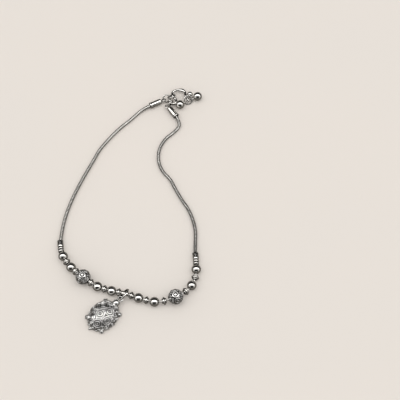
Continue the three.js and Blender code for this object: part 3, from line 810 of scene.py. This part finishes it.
def plate_ridge(distances, round_):
    """How far each point of a strand stands out of its grooves: 1 on a plate's edge, 0 in a groove.
    The plates zigzag round the strand and each laps the next."""
    zigzag = CHAIN_ZIGZAG * np.abs((2 * round_ / math.pi) % 2 - 1)
    share = (distances[:, None] / CHAIN_PLATE_PITCH + zigzag[None, :]) % 1
    climb, drop = share / CHAIN_PLATE_CLIMB, (1 - share) / (1 - CHAIN_PLATE_CLIMB)
    return np.clip(np.minimum(climb, drop), 0, 1)


def strand(node, route, backwards, length, tarnish_and_shade):
    """A strand of snake chain with painted shade in its grooves and on its sides, leaving a bright
    band along its top. Painted shade deepens towards its end.
    """
    tube_height = CLASP_TUBE_RADIUS + CLASP_TUBE_BAND

    def place(distance):
        point = route.at(route.length - distance if backwards else distance)
        fall = ramp((distance - CLASP_TUBE_SOCKET) / STRAND_SLOPE)
        rise = ramp((distance - length + STRAND_RISE_BEFORE_END) / STRAND_SLOPE)
        height = tube_height + (CHAIN_RADIUS - tube_height) * fall
        height += (END_TUBE_RADIUS - CHAIN_RADIUS) * rise
        return Vector((point.x, point.y, height))

    plates = round(length / CHAIN_PLATE_PITCH)
    distances = np.linspace(0, length, plates * CHAIN_STEPS_PER_PLATE + 1)
    round_ = angles(CHAIN_SIDES)
    ridge = plate_ridge(distances, round_)
    step = Curve.TANGENT_STEP
    centres = [place(distance) for distance in distances]
    directions = [place(distance + step) - place(distance - step) for distance in distances]
    radii = CHAIN_RADIUS - CHAIN_GROOVE * (1 - ridge)
    # Painted shade on the sides and underside, and in the grooves between plates
    sides = np.clip((CHAIN_BRIGHT_TOP - np.sin(round_)) / CHAIN_SHADE_BLEND, 0, 1)
    oxide_and_shade = np.maximum((1 - ridge) ** CHAIN_SHADE_POWER, CHAIN_SIDE_SHADE * sides[None, :])
    # More painted shade towards the strand's end
    oxide_and_shade += tarnish_and_shade * (distances / length)[:, None]
    form = swept(centres, directions, radii, radii, np.clip(oxide_and_shade, 0, 1), CHAIN_SIDES)
    show(node, form, "chain_silver")


def make_strands(left_eye, right_eye):
    """Both strands along the route. Returns the shift from the route's plan to the frame."""
    shift = left_eye - LEFT_EYE
    shift.z = 0

    def mouth(eye, angle, inside=0):
        point = eye + plan(angle) * (inside - EYE_REACH - CLASP_TUBE_LENGTH)
        return Vector((point.x, point.y, 0))

    route = Curve([
        mouth(left_eye, LEFT_TUBE_ANGLE, CLASP_TUBE_SOCKET), mouth(left_eye, LEFT_TUBE_ANGLE),
        *[Vector((x, y, 0)) + shift for x, y in ROUTE],
        mouth(right_eye, RIGHT_TUBE_ANGLE), mouth(right_eye, RIGHT_TUBE_ANGLE, CLASP_TUBE_SOCKET),
    ])
    left = route.nearest(middle("end_tube_1")) - STRAND_GAP
    right = route.length - route.nearest(middle("end_tube_2")) - STRAND_GAP
    strand("chain_strand_left", route, False, left, LEFT_PAINTED_SHADE)
    strand("chain_strand_right", route, True, right, RIGHT_PAINTED_SHADE)
    return shift


# Clasp

def clasp_tube_form():
    """A tube with a banded mouth, a socket for the strand, a rounded shoulder and an eye, with
    painted shade in the socket and just behind the band.
    """
    mouth = -EYE_REACH - CLASP_TUBE_LENGTH
    band_end = mouth + CLASP_TUBE_BAND_LENGTH
    band = CLASP_TUBE_RADIUS + CLASP_TUBE_BAND
    bottom = mouth + CLASP_TUBE_SOCKET + CLEAR
    neck = EYE_WIRE + CLASP_TUBE_BAND
    neck_end = -EYE_RADIUS + EYE_WIRE / 2
    edge, shade, pole = 0.07, 0.25, 0.02
    profile = [
        (mouth, SOCKET_RADIUS, 1), (mouth, band - edge, 0), (mouth + edge, band, 0),
        (band_end - edge, band, 0), (band_end, band - edge, 0),
        (band_end + edge, CLASP_TUBE_RADIUS, 1), (band_end + shade, CLASP_TUBE_RADIUS, 0),
    ]
    for swing in np.linspace(0, math.pi / 2, 8):
        along = -EYE_REACH - CLASP_TUBE_TAPER + CLASP_TUBE_TAPER * math.sin(swing)
        profile.append((along, neck + (CLASP_TUBE_RADIUS - neck) * math.cos(swing), 0))
    profile += [
        (neck_end, 0.8 * neck, 0.3), (neck_end, pole, 1), (bottom, pole, 1),
        (bottom, SOCKET_RADIUS, 1),
    ]
    return turned(profile).add(ring(EYE_RADIUS, EYE_WIRE))


def hook_form(left_side):
    """The S-hook's wire, with a round tip, a flattened top and a rounded tail."""
    def hook_point(row):
        return Vector((row[0] * HOOK_CURL_WIDTH, row[1] * HOOK_CURL_HEIGHT, 0)) + left_side

    curve = Curve([hook_point(row) for row in HOOK_OUTLINE])
    distances = np.linspace(0, curve.length, HOOK_STEPS)
    centres = [curve.at(distance) for distance in distances]
    directions = [curve.direction(distance) for distance in distances]
    from_thumb = np.array([(centre - hook_point(HOOK_THUMB_PLACE)).length for centre in centres])
    flat = np.sqrt(np.clip(1 - (2 * from_thumb / HOOK_THUMB_LENGTH) ** 2, 0, 1))
    from_tail = np.clip((curve.length - distances) / HOOK_WIRE, 0, 1)
    wire = HOOK_WIRE * np.minimum(1, np.sqrt(1 - (1 - from_tail) ** 2) + HOOK_TAIL_END)
    sides = wire * (1 + (HOOK_THUMB_WIDTH / 2 / HOOK_WIRE - 1) * flat)
    tops = wire * (1 - HOOK_THUMB_THINNED * flat)
    # Painted shade on the wire's sides, leaving its top and underside bright
    shade = np.abs(np.cos(angles(HOOK_SIDES)))[None, :]
    painted_side_shade = 0.9 * np.clip(1.5 * shade - 0.2, 0, 1)
    form = swept(centres, directions, sides, tops, painted_side_shade, HOOK_SIDES)
    tip = oval(2 * HOOK_TIP_RADIUS, 2 * HOOK_TIP_RADIUS, 2 * HOOK_TIP_RADIUS)
    return form.add(tip, Matrix.Translation(centres[0]))


def roll_to(direction, axis):
    """The roll that turns a ring's own axis towards another ring's wire."""
    basis = turn(direction)
    side, top = basis.col[1], basis.col[2]
    return math.degrees(math.atan2(-axis.dot(side), axis.dot(top)))


def ball_drop_form(radius):
    """A ball with a collar, which joins it to its eye."""
    ball = oval(2 * radius, 2 * radius, 2 * radius, rows=36, sides=52)
    profile = [(along - radius, outer, oxide_and_shade) for along, outer, oxide_and_shade in DROP_COLLAR]
    eye = ring(DROP_EYE_RADIUS, DROP_EYE_WIRE, steps=40, sides=12)
    eye_place = Matrix.Translation((-radius - DROP_EYE_RADIUS, 0, 0))
    return ball.add(turned(profile, sides=24)).add(eye, eye_place)


def make_drops():
    """The drop ring and its ball drops, each with its eye on the ring and its ball on the table."""
    centre = middle("drop_ring")
    axis = plan(DROP_RING_AXIS_ANGLE)
    turned_ring = turn(axis, DROP_RING_ROLL)
    wire = ring(DROP_RING_RADIUS, RING_WIRE, seam=RING_SEAM)
    show("drop_ring", wire, "satin_silver", placed(centre, axis, DROP_RING_ROLL))
    for node, radius, angle in DROPS:
        round_ = plan(angle - DROP_RING_AXIS_ANGLE)
        on_ring = turned_ring @ (round_ * DROP_RING_RADIUS) + centre
        ring_way = turned_ring @ UP.cross(round_)
        out = radius + DROP_EYE_RADIUS
        flat = math.sqrt(out ** 2 - (on_ring.z - radius) ** 2)
        ball = on_ring + plan(angle) * flat
        ball.z = radius
        outwards = ball - on_ring
        show(node, ball_drop_form(radius), "polished_silver",
             placed(ball, outwards, roll_to(outwards, ring_way)))


def make_clasp(left_eye, right_eye):
    """Both clasp tubes, the rings between them and the hook, the hook itself and its drops."""
    tube = clasp_tube_form()
    left_place = placed(left_eye, plan(LEFT_TUBE_ANGLE), -RING_ROLL)
    show("clasp_tube_left", tube, "satin_silver", left_place)
    show("clasp_tube_right", tube, "satin_silver", placed(right_eye, plan(RIGHT_TUBE_ANGLE)))
    link = ring(RING_RADIUS, RING_WIRE, seam=RING_SEAM)
    first, second, third = (middle(f"clasp_ring_{i}") for i in (1, 2, 3))
    third_place = placed(third, plan(HOOK_LINK_ANGLE + 180), HOOK_RING_ROLL)
    show("clasp_ring_1", link, "satin_silver", placed(first, first - left_eye, RING_ROLL))
    show("clasp_ring_2", link, "satin_silver", placed(second, plan(HOOK_ANGLE), -RING_ROLL))
    show("clasp_ring_3", link, "satin_silver", third_place)
    show("s_hook", hook_form(second + plan(HOOK_ANGLE) * HOOK_SEAT), "polished_silver")
    make_drops()


# Turtle charm

def shell_height(along, across):
    """The height of the plain dome over a place."""
    share = (2 * along / SHELL_LENGTH) ** 2 + (2 * across / SHELL_WIDTH) ** 2
    return SHELL_RIM_HEIGHT + (SHELL_HEIGHT - SHELL_RIM_HEIGHT) * math.sqrt(max(0, 1 - share))


def shell_marks(points):
    """The shell's pattern: seven rosettes at the top, then smaller motifs packed between them."""
    rosette = ((1, 1.06 * ROSETTE_RADIUS, 0.27), (1, 0.56 * ROSETTE_RADIUS, 0.3), (1.1, 0, 0.34))
    ringlet = ((0.9, 0.82, 0.24), (1, 0, 0.34))
    grain = ((0.9, 0, 0.45),)
    outs = [Vector((0, 0, 0)), *(plan(30 + 60 * i) * ROSETTE_PITCH for i in range(6))]
    marks = []
    for out in outs:
        along, across = ROSETTE_MIDDLE[0] + out.x, ROSETTE_MIDDLE[1] + out.y
        centre = np.array([along, across, shell_height(along, across)])
        marks.append((centre, ROSETTE_RADIUS + ROSETTE_ROOM, rosette))
    places = points[::4, ::5].reshape(-1, 3)
    return packed(places, marks, ((1.05, ringlet), (0.45, grain)))


def shell_form():
    """The domed shell with its raised pattern, worn bright on top of each circle."""
    pole = 0.02
    climb = np.linspace(0, math.pi / 2 - pole, 125)[:, None]
    round_ = angles(380)[None, :]
    half = np.array([SHELL_LENGTH / 2, SHELL_WIDTH / 2, SHELL_HEIGHT - SHELL_RIM_HEIGHT])
    sphere = np.stack([
        np.cos(climb) * np.cos(round_), np.cos(climb) * np.sin(round_), np.sin(climb) + 0 * round_,
    ], axis=-1)
    points = sphere * half + np.array([0, 0, SHELL_RIM_HEIGHT])
    normals = sphere / half
    normals /= np.linalg.norm(normals, axis=-1)[:, :, None]
    height = raised(points, shell_marks(points))
    relief = (SHELL_RELIEF + SHELL_SUNK) * height - SHELL_SUNK
    surface = points + normals * relief[:, :, None]
    belly_edge = points[:1] * np.array([SHELL_BELLY_SHARE, SHELL_BELLY_SHARE, 0])
    oxide_and_shade = 0.95 * (1 - np.clip(height, 0, 1))
    # Painted shade on the belly under the shell
    belly_painted_shade = np.full_like(oxide_and_shade[:1], 0.6)
    return Form().grid(np.concatenate([belly_edge, surface]), np.concatenate([belly_painted_shade, oxide_and_shade]))


def shell_edge(angle, height):
    """A place on the shell's edge at an angle round it and a height."""
    return Vector((SHELL_LENGTH / 2 * plan(angle).x, SHELL_WIDTH / 2 * plan(angle).y, height))


def add_rim(form):
    """Grains round the shell's edge, large and small in turn."""
    for i in range(RIM_GRAINS):
        size = 2 * GRAIN_RADIUS * (0.95 if i % 2 == 0 else 0.7)
        place = shell_edge(360 * (i + 0.5) / RIM_GRAINS, GRAIN_HEIGHT)
        form.add(oval(size, size, size, 9, 12), Matrix.Translation(place))


def add_foot(form, angle):
    """A foot at an angle round the shell, with three toes."""
    out, along_edge = plan(angle), plan(angle + 90)
    place = shell_edge(angle, FOOT_HEIGHT / 2) + out * FOOT_BEYOND_SHELL
    # The foot is made darker than the shell's top, and its toes less so
    form.add(oval(FOOT_LENGTH, FOOT_WIDTH, FOOT_HEIGHT, oxide_and_shade=0.6), placed(place, out))
    for toe in (-1, 0, 1):
        tip = place + out * 0.36 * FOOT_LENGTH + along_edge * toe * 0.3 * FOOT_WIDTH
        form.add(oval(*TOE_SIZE, 8, 10, oxide_and_shade=0.3), placed(tip, plan(angle + TOE_SPREAD * toe)))


def add_head(form):
    """The neck, the head with its two eyes, and the loop at its nose."""
    half_neck = NECK_LENGTH / 2
    # Painted shade where the neck meets the shell, fading towards the head
    profile = [(-half_neck, NECK_RADII[0], 0.5), (half_neck, NECK_RADII[1], 0)]
    neck = turned(profile, sides=28, loop=False)
    form.add(neck, Matrix.Translation((SHELL_LENGTH / 2, 0, NECK_HEIGHT)))
    head = oval(2.2 * HEAD_RADIUS, 2 * HEAD_RADIUS, 1.9 * HEAD_RADIUS, 28, 36)
    form.add(head, Matrix.Translation((HEAD_REACH, 0, HEAD_HEIGHT)))
    along, across, up = EYE_PLACE
    for side in (-1, 1):
        place = Vector((HEAD_REACH + along, side * across, HEAD_HEIGHT + up))
        form.add(oval(EYE_SIZE, EYE_SIZE, EYE_SIZE, 10, 14), Matrix.Translation(place))
    loop = ring(NOSE_LOOP_RADIUS, NOSE_LOOP_WIRE)
    form.add(loop, Matrix.Translation((NOSE_REACH, 0, HEAD_HEIGHT)))


def turtle_form():
    """The whole charm, with its belly on the table and its head along the X axis."""
    form = shell_form()
    add_rim(form)
    for angle in FOOT_ANGLES:
        add_foot(form, angle)
    # The tail is made darker than the shell's top
    tail = Vector((-SHELL_LENGTH / 2 - TAIL_LENGTH / 4, 0, TAIL_HEIGHT))
    form.add(oval(TAIL_LENGTH, TAIL_WIDTH, TAIL_WIDTH, oxide_and_shade=0.45), Matrix.Translation(tail))
    add_head(form)
    return form


def make_charm():
    """The turtle and the ring that links its nose loop to the string."""
    link = ring(JUMP_RING_RADIUS, JUMP_RING_WIRE, seam=JUMP_RING_SEAM)
    link_place = placed(middle("charm_jump_ring"), plan(JUMP_RING_ANGLE), JUMP_RING_ROLL)
    show("charm_jump_ring", link, "polished_silver", link_place)
    nose = reach("turtle_charm", plan(TURTLE_ANGLE))[1]
    along = nose - NOSE_REACH - NOSE_LOOP_RADIUS - NOSE_LOOP_WIRE
    across = sum(reach("turtle_charm", plan(TURTLE_ANGLE + 90))) / 2
    place = plan(TURTLE_ANGLE) * along + plan(TURTLE_ANGLE + 90) * across
    show("turtle_charm", turtle_form(), "oxidised_silver", placed(place, plan(TURTLE_ANGLE)))


# Stage

def make_table():
    mesh = bpy.data.meshes.new("table")
    corners = [(-1, -1), (1, -1), (1, 1), (-1, 1)]
    points = [(TABLE_HALF_WIDTH * x, TABLE_HALF_WIDTH * y, 0) for x, y in corners]
    mesh.from_pydata(points, [], [(0, 1, 2, 3)])
    mesh.materials.append(tabletop())
    table = bpy.data.objects.new("table", mesh)
    bpy.context.scene.collection.objects.link(table)


def make_studio():
    """A soft room. The silver mirrors a bright ceiling between a dark far wall and a grey near
    wall with a dark patch in its middle. All else is lit more evenly."""
    world = bpy.data.worlds.new("studio")
    bpy.context.scene.world = world
    nodes = Nodes(world)
    direction = nodes.node("ShaderNodeTexCoord").outputs["Generated"]
    split = nodes.node("ShaderNodeSeparateXYZ", sockets={"Vector": direction})
    across, away, up = (Value(nodes, split.outputs[i]) for i in range(3))
    swing = up.angle(-away)
    near = 1 - swing.step(*map(math.radians, NEAR_WALL_END))
    far = swing.step(*map(math.radians, FAR_WALL_START))
    sides = abs(across).step(*CEILING_WIDTH)
    patch = 1 - swing.step(*map(math.radians, PATCH_END))
    patch *= 1 - abs(across).step(*PATCH_WIDTH)
    ceiling = (1 - near) * (1 - far) * (1 - CEILING_FALL * sides)
    scattered = nodes.value("ShaderNodeLightPath", output="Diffuse Depth").step(0.4, 0.6)
    mirrored = nodes.value("ShaderNodeLightPath", output="Is Glossy Ray") * (1 - scattered)
    room = ceiling * CEILING_LIGHT + far * FAR_LIGHT
    room += near * NEAR_LIGHT * (1 - PATCH_SHADE * patch)
    soft = SOFT_LIGHT + SOFT_CEILING_LIGHT * ceiling
    seen = nodes.value("ShaderNodeLightPath", output="Is Camera Ray")
    light = room * mirrored + soft * (1 - mirrored)
    strength = light * (1 - seen) + seen * BACKDROP_LIGHT
    sky = nodes.node("ShaderNodeBackground", sockets={
        "Color": rgb(1.0, 0.985, 0.96), "Strength": strength,
    })
    nodes.node("ShaderNodeOutputWorld", sockets={"Surface": sky.outputs[0]})


def make_camera(shift):
    """The photograph's camera, which looks down at its target from the charm's side."""
    scene = bpy.context.scene
    data = bpy.data.cameras.new("photo_camera")
    data.lens = PHOTO_LENS
    camera = bpy.data.objects.new("photo_camera", data)
    scene.collection.objects.link(camera)
    elevation = math.radians(PHOTO_ELEVATION)
    back = Vector((0, -math.cos(elevation), math.sin(elevation)))
    camera.location = (PHOTO_TARGET + shift + back * PHOTO_DISTANCE) * MM
    camera.rotation_euler = (-back).to_track_quat("-Z", "Y").to_euler()
    data.clip_start = PHOTO_CLIP_START
    scene.camera = camera
    scene.view_settings.view_transform = "Standard"


left_eye = clasp_eye("clasp_tube_left", LEFT_TUBE_ANGLE)
right_eye = clasp_eye("clasp_tube_right", RIGHT_TUBE_ANGLE)
make_wire(make_string())
shift = make_strands(left_eye, right_eye)
make_clasp(left_eye, right_eye)
make_charm()
make_table()
make_studio()
make_camera(shift)
